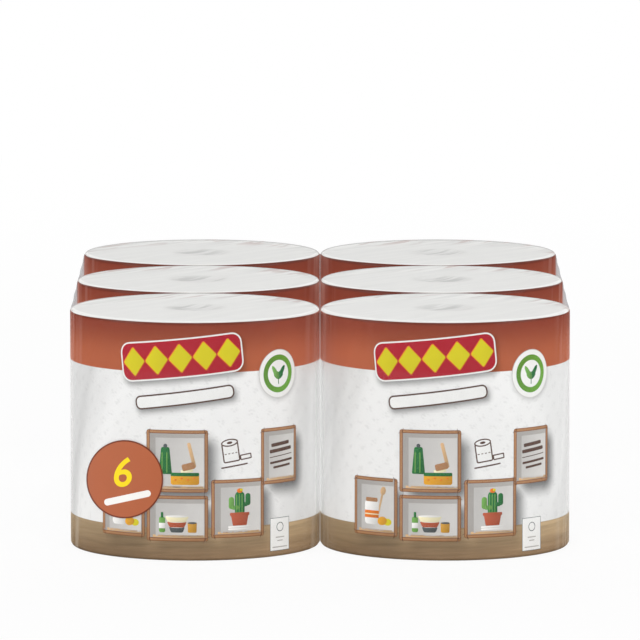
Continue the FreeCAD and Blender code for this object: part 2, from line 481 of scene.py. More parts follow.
class TowelWrapSettings(bpy.types.PropertyGroup):
    """Sizes and colours of the printed film round each roll."""

    radius: length_property("Radius", ROLL_RADIUS, "Outer radius of a wrapped roll")
    height: length_property("Height", ROLL_HEIGHT, "Height of a wrapped roll")
    rim: length_property("Rim rounding", 3 * MM, "Radius of the film where it turns over the ends")
    lower_band: length_property("Lower band", 32 * MM, "Top edge of the wood coloured band")
    upper_band: length_property("Upper band", 181 * MM, "Lower edge of the terracotta band")
    print_top: length_property("Print top", 229.65 * MM, "Where the print ends on the rim")
    dimple: length_property("Dimple depth", 2 * MM, "How far the film sinks into the core")
    mesh_step: length_property("Mesh step", 3 * MM, "Height of the rows of faces on the side")
    terracotta: colour_property("Terracotta", srgb(178, 97, 67), "Upper band at its lower edge")
    terracotta_dark: colour_property("Dark terracotta", srgb(138, 65, 49), "Upper band at its top")
    white: colour_property("White", srgb(241, 241, 240), "Ground between the bands")
    wood: colour_property("Wood", srgb(165, 143, 112), "Lower band at its top edge")
    wood_dark: colour_property("Dark wood", srgb(128, 105, 80), "Lower band at the floor")
    end_white: colour_property("End white", srgb(229, 229, 227), "Milky film over the ends")
    haze: share_property("End haze", 0.86, "How milky the film over the ends is")


class TowelPrintSettings(bpy.types.PropertyGroup):
    """Inks and sizes of the print on the wraps."""

    tilt: angle_property("Tilt", math.radians(6), "How far the name plate rises to the right")
    frame_rail: length_property("Frame rail", 3.4 * MM, "Width of a printed frame's rail")
    crimson: colour_property("Crimson", srgb(174, 40, 54), "Field of the name plate")
    yellow: colour_property("Yellow", srgb(214, 203, 42), "Diamonds on the name plate")
    ink_brown: colour_property("Brown ink", srgb(92, 70, 62), "Lines and bars")
    frame_wood: colour_property("Frame wood", srgb(172, 128, 92), "Rails of the printed frames")
    green: colour_property("Green", srgb(102, 154, 62), "Ring of the round badge")


class TowelSleeveSettings(bpy.types.PropertyGroup):
    """The clear film round each column of rolls."""

    thickness: length_property("Thickness", 0.3 * MM, "Thickness of the clear film")
    haze: share_property("Haze", 0.13, "How milky the free spans are, seen straight on")
    grey: colour_property("Film grey", srgb(202, 208, 212), "Colour of the film's haze")


class TowelStickerSettings(bpy.types.PropertyGroup):
    """The round sticker on the front left roll."""

    diameter: length_property("Diameter", 74.8 * MM, "Diameter of the sticker")
    height: length_property("Height", 76.4 * MM, "Height of the sticker's centre")
    lean: angle_property("Lean", math.radians(7.9), "How far its outline falls to the back")
    edge: length_property("Edge", 1.4 * MM, "Width of the dark edge line")
    numeral: IntProperty(name="Numeral", description="Plain number on the sticker", default=6)
    orange: colour_property("Orange", srgb(181, 99, 63), "Field of the sticker")
    numeral_yellow: colour_property("Numeral yellow", srgb(255, 224, 20), "Number on the sticker")


class TowelStageSettings(bpy.types.PropertyGroup):
    """Camera, floor and lamps."""

    distance: length_property("Camera distance", 8.2247, "Distance in front of the pack's middle")
    camera_height: length_property("Camera height", 1.174, "Height above the floor")
    pitch: angle_property("Pitch", 0.11923, "How far the camera looks down")
    lens: number_property("Lens", 468.68, "Focal length in mm on a 36 mm sensor", min=1)
    key_power: number_property("Key light", 60, "Power of the large front light in watts")
    fill_power: number_property("Fill lights", 80, "Power of each shadowless side fill in watts")
    back_power: number_property("Back light", 75, "Power of the large back light in watts")
    strip_power: number_property("Strip lights", 4, "Power of each tall strip light in watts")
    ambient: number_property("Ambient", 0.42, "Strength of the studio's soft light")


SETTINGS = (
    ("towel_wrap", TowelWrapSettings),
    ("towel_print", TowelPrintSettings),
    ("towel_sleeve", TowelSleeveSettings),
    ("towel_sticker", TowelStickerSettings),
    ("towel_stage", TowelStageSettings),
)


# ---- finishes of the film


def film_surface(finish, colour, gloss=0.16, dash=0.0):
    """Thin wrinkled film over a colour; its gloss fades where the film is seen along itself."""
    film = finish.film()
    swath = finish.noise(film, (0.030, 0.095), -26, distortion=0.6)
    ripple = finish.noise(film, (0.0055, 0.021), -32, detail=1.0)
    normal = finish.bump(swath + 0.12 * ripple + 0.07 * dash)
    coat = {"Coat Weight": 0.3 * (1 - finish.facing()), "Coat Roughness": gloss}
    return finish.surface(colour, 0.6 + 0.1 * swath, normal, 0.0, coat)


def towel_dashes(finish):
    """The towel's embossed dashes, in tufts."""
    film = finish.film()
    tuft = finish.cells(film, (0.0145, 0.0125), 38, spread=0.3)
    cells = finish.cells(film, (0.0026, 0.0050), 62)
    return finish.fall(cells, 0.16, 0.48) * finish.fall(tuft, 0.16, 0.42)


def flank_streaks(finish):
    """Fine upright lines of painted highlight on the flanks between the two printed faces."""
    long = finish.noise(finish.film(), (0.012, 0.20), -3, distortion=0.3)
    return finish.step(long, 0.38, 0.68)


def terracotta_finish(wrap):
    """The upper band: darker to the top, with painted shade under the rim, pale painted highlights
    on the flanks and painted light on the side that faces the neighbouring roll.
    """
    finish = Finish("terracotta_film")
    height = finish.height()
    darker = finish.step(height, wrap.upper_band + 9 * MM, wrap.print_top)
    colour = finish.blend(darker, wrap.terracotta, wrap.terracotta_dark)
    mottle = finish.noise(finish.film(), (0.08, 0.03), 10, detail=3.0)
    # Painted shade: the band is painted darker just under the rim.
    painted_rim_shade = finish.step(height, wrap.height - 4.4 * MM, wrap.height - 1.9 * MM, 1.0, 0.6)
    tone = (0.96 + 0.08 * mottle) * painted_rim_shade * (1 - 0.6 * finish.value("print_shadow"))
    flank = finish.value("flank")
    between = finish.value("between")
    near, nearest = finish.step(flank, 0.86, 0.93), finish.step(flank, 0.955, 0.99)
    # Painted highlights: pale lines on the flanks and a pale strip at the very edge.
    pale = flank_streaks(finish) * (0.20 * near + 0.16 * nearest) + 0.12 * nearest
    # Painted light on the side that faces the neighbouring roll: paler near it, and lighter over
    # that half.
    pale = pale + 0.05 * finish.step(between, 0.5, 0.8) + 0.26 * finish.step(between, 0.92, 0.98)
    tone = tone * (1 + 0.14 * finish.step(between, 0.4, 0.9))
    colour = finish.blend(pale, finish.shade(colour, tone), srgb(206, 160, 148))
    return film_surface(finish, colour)


def white_finish(wrap):
    """The white ground: painted shade on the flanks, pale painted highlights there and painted
    light towards the neighbouring roll, with the towel's dashes showing through.
    """
    finish = Finish("white_film")
    film = finish.film()
    broad = finish.noise(film, (0.045, 0.17), -30, detail=1.0, distortion=0.6)
    swaths = finish.step(broad, 0.30, 0.70)
    flank = finish.value("flank")
    # Painted shade on the flanks, painted lighter again at the very edge.
    haze = finish.value("haze") * finish.step(flank, 0.985, 0.998, 1.0, 0.3)
    thin = finish.noise(film, (0.012, 0.20), -8, detail=1.0, distortion=0.4)
    # Painted highlights: pale lines on the flanks.
    painted_highlight_lines = finish.step(thin, 0.58, 0.70) * finish.step(flank, 0.86, 0.95)
    dash = towel_dashes(finish)
    tone = 1 - haze * (0.25 - 0.07 * swaths) - 0.03 * (1 - swaths)
    # Painted light on the side that faces the neighbouring roll.
    tone = tone * (1 + 0.17 * finish.step(finish.value("between"), 0.88, 0.97))
    tone = tone * (1 - 0.09 * dash) + 0.045 * painted_highlight_lines
    tone = tone * (1 - 0.8 * finish.value("print_shadow"))
    return film_surface(finish, finish.shade(wrap.white, tone), dash=dash)


def wood_finish(wrap):
    """The lower band: printed wood, the same on every roll, with painted shade along the floor and
    on the flanks and pale painted highlights on the flanks.
    """
    finish = Finish("wood_print_film")
    height = finish.height()
    unrolled = finish.node("ShaderNodeSeparateXYZ", inputs={0: finish.film()})
    across = unrolled.out("X") - finish.value("shift")
    film = finish.node("ShaderNodeCombineXYZ", inputs={0: across, 1: height}).out("Vector")
    lighter = finish.step(height, MM, wrap.lower_band)
    colour = finish.blend(lighter, wrap.wood_dark, wrap.wood)
    grain = finish.noise(film, (0.060, 0.0036), 1.5, detail=3.0, distortion=0.6)
    pores = finish.noise(film, (0.018, 0.0014), 1.5)
    boards = finish.noise(film, (0.11, 0.010), detail=1.0)
    side = across.math("SINE", across * (2 / ROLL_RADIUS))
    tone = (0.52 + 0.52 * grain + 0.18 * pores + 0.26 * boards) * (1.26 + 0.26 * side)
    edge = finish.step(height, wrap.lower_band - 1.8 * MM, wrap.lower_band, 1.0, 0.86)
    # Painted shade along the bottom edge, where the wrap meets the floor.
    painted_floor_shade = finish.step(height, 0.6 * MM, 4 * MM, 0.66, 1.0)
    tone = tone * edge * painted_floor_shade * (1 - 0.36 * finish.value("print_shadow"))
    # Painted shade on the flanks.
    tone = tone * (1 - 0.16 * finish.value("haze"))
    # Painted highlights: pale lines on the flanks.
    near = finish.step(finish.value("flank"), 0.86, 0.95)
    pale = 0.3 * flank_streaks(finish) * near
    colour = finish.blend(pale, finish.shade(colour, tone), srgb(206, 196, 182))
    return film_surface(finish, colour, 0.2)


def end_film_finish(wrap):
    """White film over an end: soft slanting folds, painted shade over the core's hollow and in its
    folds, a painted highlight along the front rim, and painted shade along and in from the back
    rim.
    """
    finish = Finish("milky_end_film")
    film = finish.film()
    radius = finish.value("radius")
    streak = finish.noise(film, (0.013, 0.110), -39, detail=2.5, distortion=0.4)
    fine = finish.noise(film, (0.0060, 0.06), -36, detail=1.0)
    milk = finish.step(0.88 * streak + 0.12 * fine, 0.34, 0.66)
    # Painted shade of the hollow core under the film, with darker painted shade in the folds over
    # it.
    hollow = finish.fall(radius, 14 * MM, 36 * MM)
    fold = finish.step(streak, 0.42, 0.58) * hollow
    to_front, to_back = finish.value("to_front"), finish.value("to_back")
    # A painted highlight along the front rim, painted shade along the back rim, and softer painted
    # shade in from it.
    painted_rim_highlight = finish.fall(to_front, 5 * MM, 9 * MM)
    painted_back_rim_shade = finish.fall(to_back, 6 * MM, 9 * MM)
    painted_back_shade = finish.fall(to_back, 16 * MM, 75 * MM) * (1 - painted_back_rim_shade)
    tone = 0.96 + 0.03 * milk - 0.15 * hollow - 0.24 * fold + 0.18 * painted_rim_highlight
    tone = tone - 0.34 * painted_back_rim_shade + (0.16 * milk - 0.09) * painted_back_shade
    colour = finish.shade(wrap.end_white, tone)
    thin = finish.noise(film, (0.014, 0.070), -34, distortion=0.4)
    tint = finish.step(thin, 0.54, 0.68) * finish.fall(to_back, 16 * MM, 58 * MM)
    colour = finish.blend(0.6 * tint, colour, srgb(176, 146, 142))
    # Where the print runs over the rim: print in dark terracotta, made darker still as painted
    # shade.
    above = finish.height() - finish.value("print_edge")
    printed = finish.fall(above, -0.14 * MM, 0.14 * MM) * finish.step(radius, 104 * MM, 106 * MM)
    dark = tuple(0.6 * part for part in wrap.terracotta_dark)
    colour = finish.blend(printed, colour, dark)
    alpha = wrap.haze + 0.03 * milk + 0.10 * hollow + 0.14 * printed
    normal = finish.bump(0.09 * streak + 0.01 * fine)
    return finish.surface(colour, 0.34 + 0.14 * milk, normal, 0.15, {"Alpha": alpha})


# ---- where the print stands

# In mm: across from the middle of a face, height, and then width and height or a radius.
PLATE = (-12.3, 195.0, 122.0, 38.0)
BAR = (-8.8, 156.9, 98.0, 13.5)
BADGE = (89.0, 176.7, 23.4)
FRAMES = (
    (-73, 50, 50, 56), (-16, 41, 60, 44), (44, 50, 54, 56), (-16, 96, 60, 60), (91, 98, 46, 54)
)
NOTE = (36, 106)
LABEL = (90.8, 21.8, 25.0, 32.0)
SHADE_EDGE_LEVEL = 140  # height in mm from which the edge of the painted flank shade leans
FACE_EDGE = 190  # where a face ends, in mm from its middle


def smooth(share):
    """A share from 0 to 1 with soft ends."""
    return share * share * (3 - 2 * share)


def across_face(angle, facing):
    """How far a place on the film is to the right of a face's middle, in mm."""
    return nearest_turn(angle - facing) * ROLL_RADIUS / MM


def soft_box(across, up, middle, half, turn, blur, corner):
    """1 inside a rounded box, 0 outside, soft over the blur; all in mm."""
    x, z = across - middle[0], up - middle[1]
    cosine, sine = math.cos(turn), math.sin(turn)
    x, z = np.abs(x * cosine + z * sine), np.abs(z * cosine - x * sine)
    x, z = x - half[0] + corner, z - half[1] + corner
    away = np.hypot(np.maximum(x, 0), np.maximum(z, 0)) + np.minimum(np.maximum(x, z), 0) - corner
    return smooth(np.clip(0.5 - away / (2 * blur), 0, 1))


def shadow_at(angle, height, tilt):
    """Strength of the printed shadow on the film; each falls to the right and below its shape."""
    shadow = np.zeros_like(height)
    up = height / MM
    for facing in (0.0, math.pi):
        across = across_face(angle, facing)
        x, z, w, h = PLATE
        parts = [0.85 * soft_box(across, up, (x + 2, z - 3.4), (w / 2, h / 2), tilt, 5, 9)]
        x, z, w, h = BAR
        parts.append(0.9 * soft_box(across, up, (x + 2, z - 3), (w / 2, h / 2), tilt * 1.25, 5, 5))
        x, z, r = BADGE
        parts.append(0.5 * soft_box(across, up, (x + 0.6, z - 1.6), (r, r), 0, 4, r))
        for x, z, w, h in FRAMES:
            parts.append(soft_box(across, up, (x + 7.5, z - 8), (w / 2, h / 2), 0, 9.5, 12))
        shadow = np.maximum(shadow, np.max(parts, axis=0))
    return shadow


def flank_haze(angle, height):
    """How much painted shade the film takes on the flanks, with an edge that leans over the
    printed faces.
    """
    haze = np.zeros_like(height)
    up = (height / MM - SHADE_EDGE_LEVEL) / 100
    for facing, fade in ((0.0, 12), (math.pi, 70)):
        across = across_face(angle, facing)
        left = np.clip((-across - 117 + 42 * up + 10 * up**2) / 32 + 0.5, 0, 1)
        faint = 0.45 * np.clip((-across - 100 + 55 * up) / 28 + 0.5, 0, 1)
        right = np.clip((across - 104 - 14 * up) / 36 + 0.5, 0, 1)
        share = np.max((smooth(left), 0.48 * smooth(right), faint), axis=0)
        haze = np.maximum(haze, share * np.clip((FACE_EDGE - np.abs(across)) / fade, 0, 1))
    return haze


# ---- film wraps


FINISH_TERRACOTTA, FINISH_WHITE, FINISH_WOOD, FINISH_END = range(4)
END_RINGS, END_RING_WIDTH = 19, 4.5 * MM
LAP_RISE = 0.12 * MM

# Rings of the film over the core, from the outside: width in mm, share of the dimple's depth.
DIMPLE_RINGS = (
    (3.5, 0.0), (2.0, 0.05), (2.5, 0.2), (4.0, 0.31), (5.0, 0.26), (5.0, 0.14), (5.0, 0.04)
)


class TOWEL_OT_wraps(bpy.types.Operator):
    """Model one printed film wrap and copy it to the six rolls"""

    bl_idname = "towel_pack.wraps"
    bl_label = "Film Wraps"

    def execute(self, context):
        wrap = context.scene.towel_wrap
        first = self.model(wrap)
        for finish in (terracotta_finish, white_finish, wood_finish, end_film_finish):
            first.data.materials.append(finish(wrap))
        for roll, (row, column, axis) in enumerate(ROLLS):
            piece = own_copy(first, f"wrap_{row}_{column}")
            self.give_finishes(piece, wrap)
            print_top = wrap.print_top - (0.75 * MM if row == "front" else 0)
            self.settle(piece, axis, roll, print_top, context.scene.towel_print)
            shade_smooth(piece)
            ride(piece, "printed_film", f"film_wrap_{row}_{column}")
        bpy.data.objects.remove(first)
        return {"FINISHED"}

    def model(self, wrap):
        """A closed skin: side rows, rounded rims, ends that dip into the core, and a lap."""
        piece = start(
            "wrap_model", bpy.ops.mesh.primitive_cylinder_add,
            vertices=int(360 / COLUMN_STEP), radius=wrap.radius, depth=wrap.height,
            end_fill_type="NGON", location=(0, 0, wrap.height / 2),
        )
        top = wrap.height
        pick("EDGE", lambda e: edge_height(e) < top / 2)
        bpy.ops.mesh.bevel(offset=wrap.rim, segments=5, affect="EDGES")
        edges = (wrap.rim, wrap.lower_band, wrap.upper_band, top - wrap.rim)
        for edge in edges[1:3]:
            cut((0, 0, edge), (0, 0, 1))
        for low, high in zip(edges, edges[1:]):
            pick(
                "EDGE",
                lambda e: edge_height(e) > wrap.mesh_step
                and low < (e.verts[0].co.z + e.verts[1].co.z) / 2 < high,
            )
            bpy.ops.mesh.subdivide(number_cuts=round((high - low) / wrap.mesh_step) - 1)
        pick("FACE", lambda f: len(f.verts) > 100)
        for ring in range(END_RINGS):
            bpy.ops.mesh.inset(thickness=END_RING_WIDTH)
        for inward, drop in DIMPLE_RINGS:
            bpy.ops.mesh.inset(thickness=inward * MM, depth=-drop * wrap.dimple)
        bpy.ops.mesh.merge(type="COLLAPSE")
        pick("FACE", self.on_lap)
        bpy.ops.mesh.extrude_region_shrink_fatten(TRANSFORM_OT_shrink_fatten={"value": LAP_RISE})
        close_edit()
        return piece

    def on_lap(self, face):
        middle = face.calc_center_median()
        angle = math.degrees(math.atan2(middle.x, -middle.y))
        return abs(face.normal.z) < 0.1 and LAP_START < angle < LAP_END

    def give_finishes(self, piece, wrap):
        """Terracotta above, white between, wood below, and milky film over the ends."""
        for face in piece.data.polygons:
            height = face.center.z
            rim = height > wrap.print_top - 2 * MM or height < 0.9 * MM
            if rim or abs(face.normal.z) > 0.98:
                face.material_index = FINISH_END
            elif height > wrap.upper_band:
                face.material_index = FINISH_TERRACOTTA
            elif height > wrap.lower_band:
                face.material_index = FINISH_WHITE
            else:
                face.material_index = FINISH_WOOD

    def settle(self, piece, axis, roll, print_top, print_settings):
        """Lay the film in its own soft folds, stand it in its place and keep its values."""
        mesh = piece.data
        points = points_of(mesh)
        radius = np.hypot(points[:, 0], points[:, 1])
        angle = unrolled_angle(points)
        height = points[:, 2].copy()
        on_side = radius > SIDE_START
        sink = side_relief(angle, height, roll)
        share = np.where(on_side, (radius - sink) / np.maximum(radius, MM), 1.0)
        points[:, 0] *= share
        points[:, 1] *= share
        dip = np.where(on_side, 0, end_relief(points[:, 0], points[:, 1], roll))
        upper = height > ROLL_HEIGHT / 2
        points[:, 2] += np.where(upper, -dip, 0.5 * dip)
        set_points(mesh, points + np.array(axis))
        strength = shadow_at(angle, height, print_settings.tilt)
        x, y = radius * np.sin(angle), -radius * np.cos(angle)
        reach = np.sqrt(np.maximum(FLAT_END**2 - (x / MM) ** 2, 0)) * MM
        flank = np.abs(np.sin(angle))
        inner_side = -math.copysign(1, axis.x)
        values = {
            "print_shadow": np.where(on_side, strength, 0.0),
            "flank": flank,
            "between": np.maximum(inner_side * np.sin(angle), 0),
            "print_edge": np.where(upper, print_top - 1.2 * MM * flank**6, -1),
            # Painted shade on the flanks.
            "haze": flank_haze(angle, height),
            "radius": radius,
            "shift": np.full_like(radius, PATTERN_SHIFT * roll),
            # Distances to the front and back edges of each flat end, for its painted rim highlight
            # and rim shade.
            "to_front": reach + y,
            "to_back": reach - y + (0 if axis.y > 0.1 else 3 * MM),
        }
        for name, value in values.items():
            keep(mesh, name, value)
        unroll(piece, axis, roll)


# ---- print

# Each ink's colour, or None where the print settings hold it, and how much its shapes are shaded.
INKS = {
    "white": (srgb(238, 238, 236), 0.03),
    "crimson": (None, 0.05),
    "yellow": (None, 0.06),
    "cream": (srgb(236, 228, 190), 0.3),
    "orange": (srgb(222, 120, 44), 0.3),
    "gold": (srgb(218, 158, 48), 0.3),
    "ink_brown": (None, 0.0),
    "frame_wood": (None, 0.1),
    "wall_grey": (srgb(176, 172, 168), -0.12),
    "panel_grey": (srgb(205, 203, 200), -0.13),
    "green": (None, -0.2),
    "dark_green": (srgb(44, 112, 62), 0.3),
    "leaf_green": (srgb(112, 164, 84), 0.3),
    "pot_red": (srgb(176, 88, 62), 0.3),
    "slate": (srgb(86, 92, 94), 0.3),
    "china": (srgb(236, 235, 232), 0.3),
    "wood_edge": (srgb(132, 88, 60), 0.1),
    "shelf_wood": (srgb(206, 170, 128), 0.3),
    "brass": (srgb(198, 148, 62), 0.3),
}


def ink_finish(name, colour, shading):
    """One ink of the print: an uneven field, shaded from one side, under the same glossy film."""
    finish = Finish(f"ink_{name}")
    film = finish.film()
    side_light = finish.value("side_light")
    if "wood" in name:
        grain = finish.noise(film, (0.004, 0.0012), 35, detail=3.0)
        tone = 0.86 + 0.28 * grain
    else:
        tone = 0.95 + 0.1 * finish.noise(film, (0.012, 0.012), detail=3.0)
    tone = tone * (1 - shading * side_light)
    return film_surface(finish, finish.shade(colour, tone), 0.18)


class PrintSheet:
    """The flat artwork of one face of a wrap, drawn upright in an open mesh, in mm."""

    def __init__(self, name):
        self.piece = start(name, bpy.ops.mesh.primitive_plane_add, size=1)
        bpy.ops.mesh.delete(type="VERT")
        close_edit()
        self.piece.data.attributes.new("side_light", "FLOAT", "POINT")
        bpy.ops.object.mode_set(mode="EDIT")
        self.origin, self.scale = (0.0, 0.0), 1.0

    def use(self, ink):
        """Ink the selected shape and shade it from its upper left to its lower right."""
        self.piece.active_material_index = list(INKS).index(ink)
        bpy.ops.object.material_slot_assign()
        mesh = bmesh.from_edit_mesh(self.piece.data)
        light = mesh.verts.layers.float["side_light"]
        chosen = {vertex for face in mesh.faces if face.select for vertex in face.verts}
        places = np.array([(vertex.co.x, vertex.co.z) for vertex in chosen])
        low, high = places.min(axis=0), places.max(axis=0)
        middle = (high + low) / 2
        half = np.maximum((high - low) / 2, 0.1 * MM)
        for vertex, (across, up) in zip(chosen, (places - middle) / half):
            vertex[light] = 0.75 * across - 0.25 * up
        bmesh.update_edit_mesh(self.piece.data)

    def add(self, primitive, place, sizes, level, top_share, **settings):
        """Add a primitive and give it its size; the side that faces up may be narrower."""
        bpy.ops.mesh.select_all(action="DESELECT")
        x, z = (self.origin[n] + self.scale * place[n] for n in (0, 1))
        middle = (x * MM, -level * PRINT_LIFT, z * MM)
        primitive(location=middle, rotation=(math.pi / 2, 0, 0), **settings)
        scales = (self.scale * sizes[0] * MM, 1, self.scale * sizes[1] * MM)
        bpy.ops.transform.resize(value=scales, center_override=middle)
        if top_share != 1:
            mesh = bmesh.from_edit_mesh(self.piece.data)
            for vertex in mesh.verts:
                if vertex.select and vertex.co.z > middle[2]:
                    vertex.co.x = middle[0] + (vertex.co.x - middle[0]) * top_share
            bmesh.update_edit_mesh(self.piece.data)
        return middle

    def turn(self, middle, turn):
        if turn:
            bpy.ops.transform.rotate(
                value=math.radians(turn), orient_axis="Y", center_override=middle
            )

    def box(self, place, size, ink, level=1, corner=0.0, turn=0.0, top_share=1.0):
        """A rectangle with rounded corners."""
        plane = bpy.ops.mesh.primitive_plane_add
        middle = self.add(plane, place, size, level, top_share, size=1)
        if corner:
            bpy.ops.mesh.bevel(offset=corner * self.scale * MM, segments=5, affect="VERTICES")
        self.turn(middle, turn)
        self.use(ink)

    def disc(self, place, size, ink, level=1, turn=0.0, top_share=1.0, points=36):
        """An ellipse."""
        circle = bpy.ops.mesh.primitive_circle_add
        middle = self.add(
            circle, place, size, level, top_share, vertices=points, radius=0.5, fill_type="NGON"
        )
        self.turn(middle, turn)
        self.use(ink)

    def inside(self, width, ink):
        """A field of another ink inside the shape that was just drawn."""
        bpy.ops.mesh.select_mode(type="FACE")
        bpy.ops.mesh.inset(thickness=width * self.scale * MM)
        self.use(ink)

    def finish(self):
        """Cut the sheet into narrow columns and low rows, so that it can be rolled."""
        step = math.radians(COLUMN_STEP) * ROLL_RADIUS
        for column in range(-48, 49):
            cut((column * step, 0, 0), (1, 0, 0))
        for row in range(1, 19):
            cut((0, 0, row * 12 * MM), (0, 0, 1))
        close_edit()
        return self.piece


def along(middle, distance, turn, rise=0.0):
    """A place at a distance along a line that is turned round its middle."""
    angle = math.radians(turn)
    x = middle[0] + distance * math.cos(angle) - rise * math.sin(angle)
    return x, middle[1] + distance * math.sin(angle) + rise * math.cos(angle)


def draw_plate(sheet, tilt):
    """The name plate: yellow diamonds on crimson with a white edge."""
    middle = PLATE[:2]
    sheet.box(middle, PLATE[2:], "white", corner=10, turn=tilt)
    sheet.inside(1.5, "crimson")
    for number in range(-2, 3):
        place = along(middle, number * 23.5, tilt)
        sheet.disc(place, (24.6, 29.8), "orange", level=2, turn=tilt, points=4)
        bpy.ops.mesh.bevel(offset=2 * MM, segments=5, affect="VERTICES")
        sheet.use("orange")
        sheet.inside(0.8, "yellow")


def draw_bar(sheet, tilt):
    """A bare white bar with a brown outline."""
    sheet.box(BAR[:2], BAR[2:], "ink_brown", corner=5.5, turn=tilt * 1.25)
    sheet.inside(1.5, "white")


def draw_badge(sheet):
    """A white disc with a green ring and a sprig of two leaves."""
    x, z, radius = BADGE
    sheet.disc((x, z), (2 * radius, 2 * radius), "panel_grey", points=64)
    sheet.inside(0.7, "white")
    sheet.disc((x, z), (36.5, 36.5), "green", level=2, points=64)
    sheet.inside(5.2, "white")
    sheet.disc((x - 3.8, z + 1.2), (6.5, 15), "leaf_green", level=3, turn=32, top_share=0.7)
    sheet.disc((x + 3.8, z + 1.2), (6.5, 15), "dark_green", level=3, turn=-32, top_share=0.7)
    sheet.box((x, z - 7), (1.0, 6), "dark_green", level=3)


def draw_frame(sheet, frame, rail):
    """A wooden box frame seen from its front, with the walls and the back panel inside it."""
    x, z, width, height = frame
    sheet.box((x, z), (width, height), "wood_edge", corner=2.2)
    sheet.inside(0.7, "frame_wood")
    sheet.inside(rail - 1.4, "wood_edge")
    sheet.inside(0.7, "wall_grey")
    inner = (width - 2 * rail, height - 2 * rail)
    back = (inner[0] - 6.4, inner[1] - 5.4)
    sheet.box((x + 2.6, z - 1.4), back, "panel_grey", level=2, corner=0.4)
    sheet.box((x + 1.4, z - inner[1] / 2 + 1.4), (inner[0] - 3, 2.4), "shelf_wood", level=2)


def draw_jar(sheet):
    """A lidded jar with a spoon, and two lemons."""
    sheet.box((6, 2.5), (2.0, 24), "shelf_wood", level=3, corner=0.9, turn=-14)
    sheet.disc((8.9, 14.2), (5.4, 7.6), "shelf_wood", level=3, turn=-14)
    sheet.box((-3, -5.5), (15, 21), "china", level=4, corner=3)
    sheet.box((-3, 5.8), (12.5, 3.6), "frame_wood", level=5, corner=1)
    sheet.box((-3, -7.0), (15, 6.5), "orange", level=5)
    sheet.box((-3, -7.0), (15, 1.0), "cream", level=6)
    sheet.disc((8, -12.4), (9.6, 7.6), "gold", level=5, turn=12)
    sheet.disc((13.4, -13.2), (7.8, 6.2), "yellow", level=4)


def draw_bowls(sheet):
    """Three bowls in a stack, a cup and a bottle."""
    for number, (ink, width) in enumerate((("slate", 12), ("pot_red", 15), ("cream", 18))):
        low = -11.2 + 5.2 * number
        sheet.box((0, low), (width, 5.8), ink, level=3 + number, corner=1.6, top_share=1.35)
        sheet.disc((0, low + 2.9), (width * 1.3, 2.2), "china", level=3 + number, points=24)
    sheet.box((15.4, -9.2), (8.6, 10), "brass", level=4, corner=1.4, top_share=1.1)
    sheet.disc((15.4, -4.4), (9.2, 2.0), "slate", level=5, points=24)
    sheet.box((-15, -6.4), (6.4, 15.5), "leaf_green", level=4, corner=1.8)
    sheet.box((-15, 3.4), (2.6, 5.6), "dark_green", level=4, corner=0.6)
    sheet.box((-15, -7.4), (6.4, 5.4), "china", level=5)


def draw_cactus(sheet):
    """A cactus in a clay pot on a small stack of plates."""
    sheet.box((1, 3.5), (8.5, 21), "dark_green", level=3, corner=4)
    sheet.box((-6.2, 4.5), (4.6, 10), "leaf_green", level=3, corner=2.2)
    sheet.box((-2.8, 0.6), (6.6, 3.4), "leaf_green", level=3, corner=1.4)
    sheet.box((8.2, 7), (4.6, 10), "dark_green", level=3, corner=2.2)
    sheet.box((5.0, 3.0), (6.4, 3.4), "dark_green", level=3, corner=1.4)
    for place in (-1.8, 0.6, 3.0):
        sheet.box((place, 3.5), (0.7, 16), "leaf_green", level=4, corner=0.3)
    sheet.box((1, -9.4), (12, 9.5), "pot_red", level=5, corner=0.8, top_share=1.3)
    sheet.box((1, -4.8), (17, 2.6), "pot_red", level=6, corner=0.9)
    sheet.disc((1, 14.4), (5.0, 3.8), "orange", level=5)
    sheet.disc((2.4, 15), (2.6, 2.2), "yellow", level=6, points=16)
    for rise in (-15.2, -17.0):
        sheet.box((1, rise), (20, 1.4), "china", level=4, corner=0.6)


def draw_sponge(sheet):
    """A green cloth on a peg, a brush, and a sponge on the shelf."""
    sheet.box((-8.5, 0.5), (10, 20), "dark_green", level=3, corner=1.4, top_share=0.62)
    for shift in (-2.4, 1.2):
        sheet.box((-8.5 + shift, -1), (0.8, 15), "leaf_green", level=4, corner=0.3)
    sheet.disc((-8.5, 11.4), (3.0, 3.0), "slate", level=4, points=12)
    sheet.box((6, -13), (21, 8.6), "gold", level=4, corner=1.8)
    sheet.box((6, -9.6), (21, 2.6), "dark_green", level=5, corner=0.8)
    for number in range(4):
        place = (-1 + 4.6 * number, -13.6 + 1.2 * (number % 2))
        sheet.disc(place, (1.8, 1.4), "orange", level=5, points=12)
    sheet.box((11, 4.6), (2.6, 19), "shelf_wood", level=3, corner=1.2, turn=14)
    sheet.box((8.6, -3.8), (9.5, 5.0), "frame_wood", level=4, corner=1.2, turn=14)
    sheet.box((7.5, -7.0), (9, 3.0), "cream", level=3, turn=14)


def draw_bars(sheet):
    """Five plain bars of different lengths."""
    lines = ((12, 23, 3.4), (6.2, 28, 3.4), (0.6, 29, 0.8), (-4.8, 29, 2.2), (-9.6, 22, 2.2))
    for rise, width, thick in lines:
        place = along((1.5, -1), 0, 5, rise)
        sheet.box(place, (width, thick), "ink_brown", level=3, corner=thick * 0.3, turn=5)


